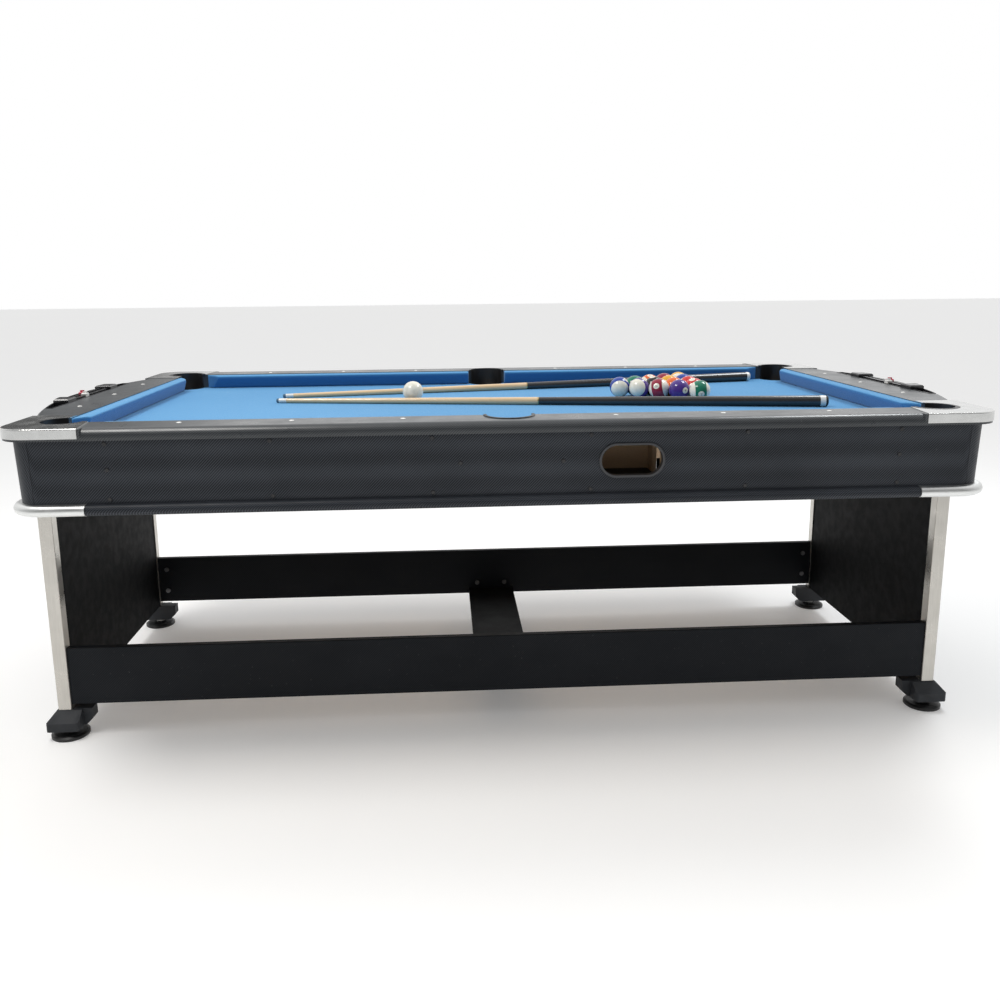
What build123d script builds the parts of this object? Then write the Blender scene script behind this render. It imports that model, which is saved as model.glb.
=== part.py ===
from build123d import *
import os
from math import asin, atan2, cos, degrees, radians, sqrt

os.makedirs("parts", exist_ok=True)

# A seven-foot pool table on two panel legs.  X runs along the table, Y across it,
# Z up.  The origin is on the floor under the middle of the table, in millimetres.
# The front, where the balls come back, faces -Y.

# ---- driving dimensions -------------------------------------------------------
RAIL_TOP = 792.0
RAIL_THICK = 25.0
NOSE_X = 940.0
NOSE_Y = 470.0
CUSHION_DEPTH = 27.0
TABLE_X = 1067.0
TABLE_Y = 600.0
TABLE_CORNER = 66.0
BOW_HALF = 395.0
BOW_SAG = 77.0
CAP_WALL = 2.0
RAIL_ROUND = 19.0

BED_TOP = 749.0
BED_THICK = 18.0
CLOTH = 1.0
FIT_GAP = 0.3

CORNER_POCKET = (962.0, 490.0)
SIDE_POCKET = (0.0, 505.0)
CORNER_OPENING = 45.0
CORNER_RIM = 55.0
BED_CORNER = (982.0, 512.0)
SIDE_OPENING = 50.0
SIDE_RIM = 57.0
LINER_WALL = 3.0
RIM_DEPTH = 8.0
LINER_PROUD = 2.0

APRON_TOP = RAIL_TOP - RAIL_THICK
APRON_BOTTOM = 630.0
APRON_INSET_TOP = 18.0
APRON_INSET_BOTTOM = 23.0
APRON_THICK = 12.0
APRON_CORNER = 57.0
APRON_BOW_HALF = 480.0
APRON_SEAM_X = 1002.0
APRON_SEAM_Y = 505.0
SEAM = 0.7

MOULDING_BOTTOM = 606.0
MOULDING_INSET = 5.0
MOULDING_DEPTH = 40.0
MOULDING_SAG = 82.0
GUARD_X = 893.0
GUARD_PROUD = 2.0

WINDOW_X = 258.0
WINDOW_Z = 701.0
WINDOW_LENGTH = 132.0
WINDOW_HEIGHT = 66.0
BEZEL_RIM = 5.5

POST_OUTER_X = 1092.0
POST_WIDTH = 32.0
POST_OUTER_Y = 372.0
POST_DEPTH = 27.0
POST_WALL = 2.0
POST_BOTTOM = 68.0
STRETCHER_BOTTOM = 80.0
STRETCHER_HEIGHT = 144.0
STRETCHER_THICK = 18.0
STRETCHER_SETBACK = 5.0
CROSS_BOARD_WIDTH = 142.0

FOOT_X = 1071.0
FOOT_Y = 362.0
DISC_RADIUS = 44.0
SHOE_BOTTOM = 24.0
STEM_RADIUS = 8.0
THREAD_CLEARANCE = 0.05

SIGHT_RADIUS = 5.5
LONG_SIGHTS_X = (231.0, 468.0, 705.0)
END_SIGHTS_Y = (-237.0, 0.0, 237.0)

BALL_RADIUS = 28.575
RACK_PITCH = 57.5
RACK_APEX = (362.0, 90.0)
CUE_BALL = (-227.0, 63.0)
CUE_LENGTH = 1490.0

QUADRANTS = {
    "front_left": (-1, -1),
    "front_right": (1, -1),
    "back_left": (-1, 1),
    "back_right": (1, 1),
}

RAIL_INNER_X = NOSE_X + CUSHION_DEPTH
RAIL_INNER_Y = NOSE_Y + CUSHION_DEPTH

# Heights well under the bed and well over the rails, for plan shapes that cut right through.
UNDER_ALL = 700.0
OVER_ALL = 830.0

# Lengths and heights past every side of the cabinet, for the zones that split its shells.
FAR_X = 1300.0
FAR_Y = 700.0
ZONE_LOW = 600.0
ZONE_HIGH = 900.0


# ---- helpers ------------------------------------------------------------------
def save(node, *solids):
    """Write one node: a single solid, or several separate ones that share it."""
    pieces = [piece for item in solids for piece in item.solids()]
    shape = pieces[0] if len(pieces) == 1 else Compound(children=pieces)
    export_step(shape, f"parts/{node}.step")


def block(x0, x1, y0, y1, z0, z1):
    centre = Pos((x0 + x1) / 2, (y0 + y1) / 2, (z0 + z1) / 2)
    return centre * Box(abs(x1 - x0), abs(y1 - y0), abs(z1 - z0))


def rod(x, y, z0, z1, radius):
    return Pos(x, y, (z0 + z1) / 2) * Cylinder(radius, z1 - z0)


def rod_y(x, y0, y1, z, radius):
    return Pos(x, (y0 + y1) / 2, z) * Rot(90, 0, 0) * Cylinder(radius, abs(y1 - y0))


def rod_x(x0, x1, y, z, radius):
    return Pos((x0 + x1) / 2, y, z) * Rot(0, 90, 0) * Cylinder(radius, abs(x1 - x0))


def polygon_face(points):
    return make_face(Polyline(*points, close=True))


def prism(face, z0, z1):
    """Extrude a plan face drawn on the floor between two heights."""
    return Pos(0, 0, z0) * extrude(face, amount=z1 - z0, dir=(0, 0, 1))


def along_x(points, x0, x1):
    """Extrude a (y, z) outline from x0 to x1."""
    face = polygon_face([(x0, y, z) for y, z in points])
    return extrude(face, amount=x1 - x0, dir=(1, 0, 0))


def along_y(points, y0, y1):
    """Extrude an (x, z) outline from y0 to y1."""
    face = polygon_face([(x, y0, z) for x, z in points])
    return extrude(face, amount=y1 - y0, dir=(0, 1, 0))


def flipped(solid, side_x, side_y):
    """Move a piece made in the +X +Y quarter to the quarter that is asked for."""
    if side_x < 0:
        solid = mirror(solid, about=Plane.YZ)
    if side_y < 0:
        solid = mirror(solid, about=Plane.XZ)
    return solid


def four_copies(solid):
    return [flipped(solid, *sides) for sides in QUADRANTS.values()]


def bow_radius(half, sag):
    return (half**2 + sag**2) / (2 * sag)


def outline(length, width, corner, bow_half, bow_sag):
    """Plan face: a rounded rectangle whose two ends bulge outwards in an arc."""
    inner_x = length - corner
    inner_y = width - corner
    quarter = corner * (1 - sqrt(0.5))
    edges = [Line((-inner_x, width), (inner_x, width))]
    for side in (1, -1):
        top = side * width
        shoulder = side * inner_y
        diagonal = (side * (length - quarter), side * (width - quarter))
        edges.append(ThreePointArc((side * inner_x, top), diagonal, (side * length, shoulder)))
        edges.append(Line((side * length, shoulder), (side * length, side * bow_half)))
        bulge = (side * (length + bow_sag), 0)
        edges.append(ThreePointArc((side * length, side * bow_half), bulge, (side * length, -side * bow_half)))
        edges.append(Line((side * length, -side * bow_half), (side * length, -shoulder)))
        turn = (side * (length - quarter), -side * (width - quarter))
        edges.append(ThreePointArc((side * length, -shoulder), turn, (side * inner_x, -top)))
    edges.append(Line((inner_x, -width), (-inner_x, -width)))
    return make_face(Wire(edges))


def strip(path, depth, half_height):
    """Sweep a board section with a full round nose along its outermost line."""
    start = path.position_at(0)
    tangent = path.tangent_at(0)
    inward = Vector(-tangent.Y, tangent.X, 0)
    if inward.dot(Vector(-start.X, -start.Y, 0)) < 0:
        inward = inward * -1
    flat = Pos((depth + half_height) / 2, 0) * Rectangle(depth - half_height, 2 * half_height)
    nose = Pos(half_height, 0) * Circle(half_height)
    section = Plane(origin=start, x_dir=inward, z_dir=tangent) * (flat + nose)
    return sweep(section, path=path)


# ---- rails --------------------------------------------------------------------
rail_x = TABLE_X - CAP_WALL
rail_y = TABLE_Y - CAP_WALL
rail_corner = TABLE_CORNER - CAP_WALL
rail_face = outline(rail_x, rail_y, rail_corner, BOW_HALF, BOW_SAG)
BOW_R = bow_radius(BOW_HALF, BOW_SAG)
BOW_CENTRE_X = rail_x + BOW_SAG - BOW_R
CAP_FRONT_X = 887.0
SUB_RAIL_X = 1027.0
SUB_RAIL_Y = 560.0
SLOT_INNER_X = 1073.0
SLOT_RIM = 14.0
SLOT_HALF = 270.0
SLOT_DEPTH = 12.0


def sight_places():
    places = [(x * side, y) for x in LONG_SIGHTS_X for side in (-1, 1) for y in (-530.0, 530.0)]
    return places + [(x, y) for x in (-1023.0, 1023.0) for y in END_SIGHTS_Y]


def scorer_slot_face(gap):
    """D-shaped recess that follows the bow of the end rail."""
    arc_part = Pos(BOW_CENTRE_X, 0) * Circle(BOW_R - SLOT_RIM - gap)
    window = Pos((SLOT_INNER_X + gap + 1200) / 2, 0) * Rectangle(1200 - SLOT_INNER_X - gap, 2 * (SLOT_HALF - gap))
    shape = arc_part & window
    return fillet(shape.vertices(), 5.0)


def rounding_profile(edge, top, radius, turn_y):
    """Points outside a quarter round at the edge and top of a rail, as a face."""
    def place(along, height):
        return (0, along, height) if turn_y else (along, 0, height)
    middle = radius * (1 - sqrt(0.5))
    arc = ThreePointArc(place(edge, top - radius), place(edge - middle, top - middle), place(edge - radius, top))
    rest = Polyline(
        place(edge - radius, top),
        place(edge - radius, top + 2),
        place(edge + 2, top + 2),
        place(edge + 2, top - radius),
        place(edge, top - radius),
    )
    return make_face(Wire([arc] + rest.edges()))


def long_rounding():
    face = rounding_profile(rail_y, RAIL_TOP, RAIL_ROUND, True)
    return Pos(-CAP_FRONT_X, 0, 0) * extrude(face, amount=2 * CAP_FRONT_X, dir=(1, 0, 0))


def end_rounding():
    """Quarter round along the bow, cut as far as the corner caps."""
    face = rounding_profile(rail_x + BOW_SAG, RAIL_TOP, RAIL_ROUND, False)
    half_angle = degrees(asin(BOW_HALF / BOW_R))
    axis = Axis((BOW_CENTRE_X, 0, 0), (0, 0, 1))
    return revolve(face, axis, revolution_arc=2 * half_angle).rotate(axis, -half_angle)


def pocket_holes():
    x, y = CORNER_POCKET
    wall = rod(x, y, BED_TOP - 1, RAIL_TOP + 1, CORNER_OPENING + LINER_WALL + 0.2)
    rim = rod(x, y, RAIL_TOP - RIM_DEPTH, RAIL_TOP + 1, CORNER_RIM + 0.2)
    holes = four_copies(wall + rim)
    x, y = SIDE_POCKET
    for side in (-1, 1):
        holes.append(rod(x, side * y, BED_TOP - 1, RAIL_TOP + 1, SIDE_OPENING + LINER_WALL + 0.2))
        holes.append(rod(x, side * y, RAIL_TOP - RIM_DEPTH, RAIL_TOP + 1, SIDE_RIM + 0.2))
    return holes


def clipped_corners():
    """Squares that clear the rounded corner posts at the corners of the bed and packing."""
    x, y = BED_CORNER
    return four_copies(block(x, FAR_X, y, FAR_Y, UNDER_ALL, APRON_TOP))


def make_rails():
    opening = block(-RAIL_INNER_X, RAIL_INNER_X, -RAIL_INNER_Y, RAIL_INNER_Y, UNDER_ALL, OVER_ALL)
    plank = prism(rail_face, APRON_TOP, RAIL_TOP)
    packing = block(-SUB_RAIL_X, SUB_RAIL_X, -SUB_RAIL_Y, SUB_RAIL_Y, BED_TOP, APRON_TOP)
    ring = plank + (packing - clipped_corners()) - opening
    ring = ring - pocket_holes()
    cutters = [long_rounding(), end_rounding()]
    cutters += [flipped(cutters[0], 1, -1), flipped(cutters[1], -1, 1)]
    slot = prism(scorer_slot_face(0), RAIL_TOP - SLOT_DEPTH, RAIL_TOP + 1)
    cutters += [slot, flipped(slot, -1, 1)]
    cutters += [rod(x, y, RAIL_TOP - 3, RAIL_TOP + 1, SIGHT_RADIUS + 0.05) for x, y in sight_places()]
    ring = ring - cutters
    x, y = CORNER_POCKET
    reach = 140.0
    mitre = [(-x - reach, y + reach), (x + reach, y + reach), (x, y), (x - 40, y - 40), (40 - x, y - 40), (-x, y)]
    long_zone = prism(polygon_face(mitre), UNDER_ALL, OVER_ALL)
    front_zone = flipped(long_zone, 1, -1)
    rails = {"rail_back": ring & long_zone, "rail_front": ring & front_zone}
    ends = ring - [long_zone, front_zone]
    rails["rail_right_end"] = ends & block(0, FAR_X, -FAR_Y, FAR_Y, UNDER_ALL, OVER_ALL)
    rails["rail_left_end"] = ends & block(-FAR_X, 0, -FAR_Y, FAR_Y, UNDER_ALL, OVER_ALL)
    return rails


def make_cap():
    """Corner cap of the +X +Y corner: a top plate with a skirt round the rail edge."""
    plate_top = RAIL_TOP + 1.5
    outer = outline(TABLE_X, TABLE_Y, TABLE_CORNER, BOW_HALF, BOW_SAG)
    body = prism(outer, RAIL_TOP - 20, plate_top) - prism(rail_face, RAIL_TOP - 21, RAIL_TOP)
    zone = [
        (CAP_FRONT_X, 640),
        (906, RAIL_INNER_Y),
        (RAIL_INNER_X, RAIL_INNER_Y),
        (RAIL_INNER_X, 401),
        (1120, BOW_HALF + 0.5),
        (1120, 640),
    ]
    body = body & prism(polygon_face(zone), UNDER_ALL, OVER_ALL)
    rim = rod(*CORNER_POCKET, UNDER_ALL, OVER_ALL, CORNER_RIM + 0.2)
    body = body - rim
    outer_edges = [
        edge for edge in body.edges()
        if edge.center().Z > plate_top - 0.01 and (edge.center().Y > TABLE_Y - 20 or edge.center().X > TABLE_X - 20)
        and edge.center().Y > 420 and edge.center().X > 890
    ]
    return fillet(outer_edges, 2.5)


def make_liner(centre, opening, rim, mouth_y, mouth_x):
    """Pocket liner: rim over the rail, wall down through the bed, open to the table."""
    x, y = centre
    top = RAIL_TOP + LINER_PROUD
    wall = rod(x, y, BED_TOP - BED_THICK, top, opening + LINER_WALL)
    collar = rod(x, y, RAIL_TOP - RIM_DEPTH, top, rim)
    collar = fillet(collar.edges().group_by(Axis.Z)[-1], 1.5)
    body = wall + collar - rod(x, y, ZONE_LOW, ZONE_HIGH, opening)
    mouth = block(x - 150, mouth_x, mouth_y - 150, mouth_y, BED_TOP + CLOTH, ZONE_HIGH)
    return body - mouth


# ---- cushions -----------------------------------------------------------------
CORNER_NOSE = 78.0
CORNER_FACING = 37.0
SIDE_NOSE_X = 60.0
SIDE_FACING_X = 58.0
CUSHION_UNDER = BED_TOP + CLOTH + 1.5


def cushion_profile(inner):
    """(distance out, height) points of one cushion, whose back meets the rail at inner."""
    nose = inner - CUSHION_DEPTH
    top = RAIL_TOP - 1.5
    return [
        (inner, CUSHION_UNDER),
        (inner, top),
        (nose + 4, top - 1),
        (nose + 1, top - 2.5),
        (nose, top - 5),
        (nose, top - 9),
        (nose + 12, CUSHION_UNDER),
    ]


def make_long_cushion():
    """Back right cushion, from the side pocket to the corner pocket."""
    nose_end = NOSE_X - CORNER_NOSE
    body = along_x(cushion_profile(RAIL_INNER_Y), 0, NOSE_X)
    plan = [
        (SIDE_NOSE_X, NOSE_Y),
        (nose_end, NOSE_Y),
        (nose_end + CORNER_FACING, RAIL_INNER_Y),
        (SIDE_FACING_X, RAIL_INNER_Y),
    ]
    return body & prism(polygon_face(plan), UNDER_ALL, OVER_ALL)


def make_end_cushion():
    nose_end = NOSE_Y - CORNER_NOSE
    body = along_y(cushion_profile(RAIL_INNER_X), -NOSE_Y, NOSE_Y)
    back_end = nose_end + CORNER_FACING
    plan = [(NOSE_X, -nose_end), (NOSE_X, nose_end), (RAIL_INNER_X, back_end), (RAIL_INNER_X, -back_end)]
    return body & prism(polygon_face(plan), UNDER_ALL, OVER_ALL)


# ---- bed ----------------------------------------------------------------------
def bed_holes():
    x, y = CORNER_POCKET
    holes = four_copies(rod(x, y, UNDER_ALL, OVER_ALL, CORNER_OPENING + LINER_WALL + 0.2))
    x, y = SIDE_POCKET
    return holes + [rod(x, side * y, UNDER_ALL, OVER_ALL, SIDE_OPENING + LINER_WALL + 0.2) for side in (-1, 1)]


def make_bed_board():
    board = block(-SUB_RAIL_X, SUB_RAIL_X, -SUB_RAIL_Y, SUB_RAIL_Y, BED_TOP - BED_THICK, BED_TOP)
    return board - bed_holes() - clipped_corners()


def make_bed_cloth():
    sheet = block(-RAIL_INNER_X, RAIL_INNER_X, -RAIL_INNER_Y, RAIL_INNER_Y, BED_TOP, BED_TOP + CLOTH)
    return sheet - bed_holes()


# ---- cabinet ------------------------------------------------------------------
APRON_SAG = BOW_SAG


def cabinet_face(inset, corner, height):
    face = outline(TABLE_X - inset, TABLE_Y - inset, corner, APRON_BOW_HALF, APRON_SAG)
    return Pos(0, 0, height) * face


def tapered(inset_top, inset_bottom, corner):
    low = cabinet_face(inset_bottom, corner - 5, APRON_BOTTOM)
    high = cabinet_face(inset_top, corner, APRON_TOP)
    return loft([low, high], ruled=True)


def apron_face_y(z):
    """Distance of the front apron's outer face from the middle at height z."""
    share = (APRON_TOP - z) / (APRON_TOP - APRON_BOTTOM)
    return TABLE_Y - APRON_INSET_TOP - share * (APRON_INSET_BOTTOM - APRON_INSET_TOP)


def screw_places():
    """(x, z) of the front apron's screws."""
    columns = (-845.0, -507.0, -169.0, 169.0, 507.0, 845.0)
    upper = [(x, APRON_TOP - 9) for x in columns]
    lower = [(x, APRON_BOTTOM + 9) for x in columns]
    return upper + lower + [(x, WINDOW_Z + 1) for x in (-845.0, -110.0, 110.0, 845.0)]


def screw(x, side, z, radius):
    face = apron_face_y(z)
    return rod_y(x, side * (face - 9), side * (face + 0.4), z, radius)


def stadium(length, height, y0, y1):
    """Solid with a long round outline through the front apron."""
    face = Plane.XZ * SlotOverall(length, height)
    return Pos(WINDOW_X, y1, WINDOW_Z) * extrude(face, amount=abs(y1 - y0), dir=(0, -1, 0))


def make_aprons():
    inner_inset = APRON_INSET_BOTTOM - APRON_INSET_TOP
    outer = tapered(APRON_INSET_TOP, APRON_INSET_BOTTOM, APRON_CORNER)
    core = tapered(
        APRON_INSET_TOP + APRON_THICK, APRON_INSET_TOP + inner_inset + APRON_THICK, APRON_CORNER - APRON_THICK
    )
    ring = outer - core
    seam_x = APRON_SEAM_X
    seam_y = APRON_SEAM_Y
    long_zone = block(SEAM - seam_x, seam_x - SEAM, NOSE_Y, FAR_Y, ZONE_LOW, ZONE_HIGH)
    end_zone = block(NOSE_X, FAR_X, SEAM - seam_y, seam_y - SEAM, ZONE_LOW, ZONE_HIGH)
    corner_zone = block(seam_x, FAR_X, seam_y, FAR_Y, ZONE_LOW, ZONE_HIGH)
    back = ring & long_zone
    front = ring & flipped(long_zone, 1, -1)
    holes = [screw(x, 1, z, 2.3) for x, z in screw_places()]
    back = back - holes
    holes = [screw(x, -1, z, 2.3) for x, z in screw_places()]
    front = front - holes - stadium(WINDOW_LENGTH + 5, WINDOW_HEIGHT + 5, -620, -540)
    right = ring & end_zone
    aprons = {"apron_back": back, "apron_front": front, "apron_right_end": right}
    aprons["apron_left_end"] = flipped(right, -1, 1)
    return aprons, four_copies(ring & corner_zone)


def make_screws():
    heads = []
    for x, z in screw_places():
        for side in (-1, 1):
            face = apron_face_y(z)
            head = rod_y(x, side * (face + 0.3), side * (face + 2.0), z, 4.5)
            head = fillet(head.edges().group_by(Axis.Y)[-1 if side > 0 else 0], 1.0)
            heads.append(head + rod_y(x, side * (face - 8), side * (face + 0.4), z, 2.2))
    return heads


def moulding_height():
    return (MOULDING_BOTTOM + APRON_BOTTOM) / 2


def make_mouldings():
    """Bullnose boards round the foot of the cabinet, between the corner guards."""
    z = moulding_height()
    half = (APRON_BOTTOM - MOULDING_BOTTOM) / 2
    edge_y = TABLE_Y - MOULDING_INSET
    edge_x = TABLE_X - MOULDING_INSET
    back = strip(Line((-GUARD_X, edge_y, z), (GUARD_X, edge_y, z)), MOULDING_DEPTH, half)
    bulge = (edge_x + MOULDING_SAG, 0, z)
    bow = ThreePointArc((edge_x, -APRON_BOW_HALF, z), bulge, (edge_x, APRON_BOW_HALF, z))
    right = strip(bow, MOULDING_DEPTH, half)
    return [back, flipped(back, 1, -1), right, flipped(right, -1, 1)]


def make_guard():
    """Corner guard of the +X +Y corner, a little prouder than the moulding."""
    z = moulding_height()
    half = (APRON_BOTTOM - MOULDING_BOTTOM) / 2
    edge_y = TABLE_Y - MOULDING_INSET + GUARD_PROUD
    edge_x = TABLE_X - MOULDING_INSET + GUARD_PROUD
    radius = TABLE_CORNER + 13
    turn = radius * (1 - sqrt(0.5))
    end_y = APRON_BOW_HALF + 8
    straight = Line((GUARD_X + SEAM, edge_y, z), (edge_x - radius, edge_y, z))
    corner = ThreePointArc(
        (edge_x - radius, edge_y, z), (edge_x - turn, edge_y - turn, z), (edge_x, edge_y - radius, z)
    )
    end = Line((edge_x, edge_y - radius, z), (edge_x, end_y, z))
    return strip(Wire([straight, corner, end]), MOULDING_DEPTH, half)


def make_bezel():
    """Ring round the ball window, with a lip that lines the hole in the sloping apron."""
    face = -apron_face_y(WINDOW_Z)
    flange = stadium(WINDOW_LENGTH + 2 * BEZEL_RIM, WINDOW_HEIGHT + 2 * BEZEL_RIM, face - 3.2, face - 0.2)
    flange = fillet(flange.edges().group_by(Axis.Y)[0], 1.5)
    lip = stadium(WINDOW_LENGTH + 3.0, WINDOW_HEIGHT + 3.0, face - 0.5, face + APRON_THICK)
    ring = flange + lip - stadium(WINDOW_LENGTH, WINDOW_HEIGHT, face - 20, face + 30)
    slope = degrees(atan2(APRON_INSET_BOTTOM - APRON_INSET_TOP, APRON_TOP - APRON_BOTTOM))
    return ring.rotate(Axis((0, face, WINDOW_Z), (1, 0, 0)), slope)


# ---- legs ---------------------------------------------------------------------
POST_INNER_X = POST_OUTER_X - POST_WIDTH
PANEL_X0 = POST_INNER_X + POST_WALL + 0.2
PANEL_X1 = POST_OUTER_X - POST_WALL - 0.2
PANEL_HALF_Y = POST_OUTER_Y - POST_WALL - 0.2
STRETCHER_Y1 = POST_OUTER_Y - STRETCHER_SETBACK
STRETCHER_Y0 = STRETCHER_Y1 - STRETCHER_THICK
STRETCHER_END = POST_INNER_X - 0.2
BOLT_HEIGHTS = (117.0, 187.0)
CENTRE_BOLT_HEIGHT = 116.0
BRACKET_HEIGHT = 32.0
BRACKET_Y = 290.0


def make_post():
    outer = block(POST_INNER_X, POST_OUTER_X, POST_OUTER_Y - POST_DEPTH, POST_OUTER_Y, POST_BOTTOM, MOULDING_BOTTOM)
    outer = fillet(outer.edges().filter_by(Axis.Z).group_by(Axis.Y)[-1], 3.0)
    room = block(
        POST_INNER_X + POST_WALL, POST_OUTER_X - POST_WALL,
        POST_OUTER_Y - POST_DEPTH - 1, POST_OUTER_Y - POST_WALL, 0, 700,
    )
    return outer - room


def make_panel():
    panel = block(PANEL_X0, PANEL_X1, -PANEL_HALF_Y, PANEL_HALF_Y, POST_BOTTOM, MOULDING_BOTTOM)
    holes = [rod_x(PANEL_X0 - 1, PANEL_X0 + 22, side * y, z, 2.6) for side in (-1, 1) for y, z in bracket_screws()]
    return panel - holes


def bracket_screws():
    height = MOULDING_BOTTOM - 17
    return [(BRACKET_Y - 12, height), (BRACKET_Y + 12, height)]


def make_bracket():
    """Angle bracket that ties a leg panel to the cabinet's end board."""
    y0 = BRACKET_Y - 24
    y1 = BRACKET_Y + 24
    upright = block(PANEL_X0 - 3, PANEL_X0, y0, y1, MOULDING_BOTTOM - BRACKET_HEIGHT, MOULDING_BOTTOM)
    shelf = block(PANEL_X0 - 34, PANEL_X0, y0, y1, MOULDING_BOTTOM - 3, MOULDING_BOTTOM)
    holes = [rod_x(PANEL_X0 - 5, PANEL_X0 + 1, y, z, 2.6) for y, z in bracket_screws()]
    return upright + shelf - holes


def make_stretcher(side):
    board = block(
        -STRETCHER_END, STRETCHER_END, side * STRETCHER_Y0, side * STRETCHER_Y1,
        STRETCHER_BOTTOM, STRETCHER_BOTTOM + STRETCHER_HEIGHT,
    )
    board = fillet(board.edges().filter_by(Axis.X), 2.0)
    holes = [rod_y(x, side * (STRETCHER_Y0 - 1), side * (STRETCHER_Y0 + 12), z, 3.2) for x, z in stretcher_bolts()]
    return board - holes


def stretcher_bolts():
    ends = [(side * (STRETCHER_END - 26), z) for side in (-1, 1) for z in BOLT_HEIGHTS]
    return ends + [(-44.0, CENTRE_BOLT_HEIGHT), (44.0, CENTRE_BOLT_HEIGHT)]


def make_bolts():
    """Stretcher bolts, seen on the boards' inner faces, and the bracket screws."""
    bolts = []
    for side in (-1, 1):
        face = side * STRETCHER_Y0
        for x, z in stretcher_bolts():
            head = rod_y(x, face - side * 4.0, face - side * 0.1, z, 7.0)
            bolts.append(head + rod_y(x, face - side * 1.0, face + side * 11.0, z, 3.0))
    screw_head = PANEL_X0 - 3.1
    for y, z in bracket_screws():
        piece = rod_x(screw_head - 2.5, screw_head, y, z, 5.0) + rod_x(screw_head - 1, screw_head + 20, y, z, 2.4)
        bolts += four_copies(piece)
    return bolts


def make_cross_board():
    half = CROSS_BOARD_WIDTH / 2
    return block(-half, half, -STRETCHER_Y0, STRETCHER_Y0, STRETCHER_BOTTOM, STRETCHER_BOTTOM + 18)


# ---- feet ---------------------------------------------------------------------
SHOE_OUTER_X = POST_OUTER_X + 22
SHOE_WEDGE_X = POST_INNER_X - 25
SHOE_INNER_X = POST_INNER_X - 47
SHOE_FRONT_Y = POST_OUTER_Y + 28
SHOE_LIP = 45.0
DISC_THICK = 12.0
NUT_BOTTOM = 12.8
NUT_TOP = SHOE_BOTTOM - 0.3
STEM_TOP = 60.0


def make_shoe():
    """Moulded foot under a post: a sloping toe, and a lobe under the panel."""
    back_y = POST_OUTER_Y - 38
    toe = [
        (back_y, SHOE_BOTTOM),
        (back_y, POST_BOTTOM),
        (POST_OUTER_Y + 2, POST_BOTTOM),
        (SHOE_FRONT_Y, SHOE_LIP),
        (SHOE_FRONT_Y, SHOE_BOTTOM),
    ]
    wedge = along_x(toe, SHOE_WEDGE_X, SHOE_OUTER_X)
    flare = [
        (SHOE_WEDGE_X, SHOE_BOTTOM),
        (SHOE_WEDGE_X, POST_BOTTOM),
        (POST_OUTER_X + 3, POST_BOTTOM),
        (SHOE_OUTER_X, SHOE_LIP),
        (SHOE_OUTER_X, SHOE_BOTTOM),
    ]
    wedge = wedge & along_y(flare, back_y - 1, SHOE_FRONT_Y + 1)
    wedge = fillet(wedge.edges().filter_by(Axis.Z).group_by(Axis.Y)[-1], 8.0)
    lobe_profile = [
        (SHOE_INNER_X + 16, SHOE_BOTTOM + 2),
        (SHOE_INNER_X, 42),
        (SHOE_INNER_X, POST_BOTTOM),
        (SHOE_WEDGE_X + 10, POST_BOTTOM),
        (SHOE_WEDGE_X + 10, SHOE_BOTTOM + 2),
    ]
    lobe = along_y(lobe_profile, back_y, POST_OUTER_Y - STRETCHER_SETBACK)
    shoe = wedge + lobe
    return shoe - rod(FOOT_X, FOOT_Y, 0, STEM_TOP + 2, STEM_RADIUS + THREAD_CLEARANCE)


def make_disc(x, y):
    pad = rod(x, y, 0, DISC_THICK - 2, DISC_RADIUS)
    pad = chamfer(pad.edges().group_by(Axis.Z)[-1], 3.0, 6.0)
    pad = chamfer(pad.edges().group_by(Axis.Z)[0], 1.0)
    hub = rod(x, y, DISC_THICK - 4, DISC_THICK + 0.4, 19.0)
    socket = rod(x, y, 4.0, 40, 6.05)
    return pad + hub - socket


def make_stem(x, y):
    """Stem of a leveller: a pin that turns in the disc, a hexagon and the thread."""
    pin = rod(x, y, 4.2, NUT_BOTTOM + 0.1, 6.0)
    nut = Pos(x, y, NUT_BOTTOM) * extrude(RegularPolygon(13.8, 6), amount=NUT_TOP - NUT_BOTTOM)
    thread = rod(x, y, NUT_TOP - 0.1, STEM_TOP, STEM_RADIUS)
    return pin + nut + chamfer(thread.edges().group_by(Axis.Z)[-1], 1.5)


# ---- inside the cabinet -------------------------------------------------------
RUN_Y = 512.0
RUN_HALF = 37.0
RUN_WALL = 3.0
RUN_HEIGHT = 34.0
CHUTE_X = 120.0
BOX_X0 = WINDOW_X - 77.0
BOX_X1 = WINDOW_X + 77.0
BOX_FLOOR = 646.0
BOX_TOP = BED_TOP - BED_THICK - 2
BOX_BACK_Y = -425.0
BOX_FRONT_Y = -560.5
BOX_WALL = 9.0


def channel(length, floor_start, floor_end):
    """U channel along +X, whose floor falls from one height to the other."""
    wall = RUN_WALL
    shape = []
    for y0, y1, rise in ((-RUN_HALF, wall - RUN_HALF, RUN_HEIGHT), (wall - RUN_HALF, RUN_HALF - wall, 0),
                         (RUN_HALF - wall, RUN_HALF, RUN_HEIGHT)):
        points = [
            (0, floor_start - wall),
            (length, floor_end - wall),
            (length, floor_end + rise),
            (0, floor_start + rise),
        ]
        shape.append(along_y(points, y0, y1))
    return shape[0] + shape[1] + shape[2]


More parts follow.
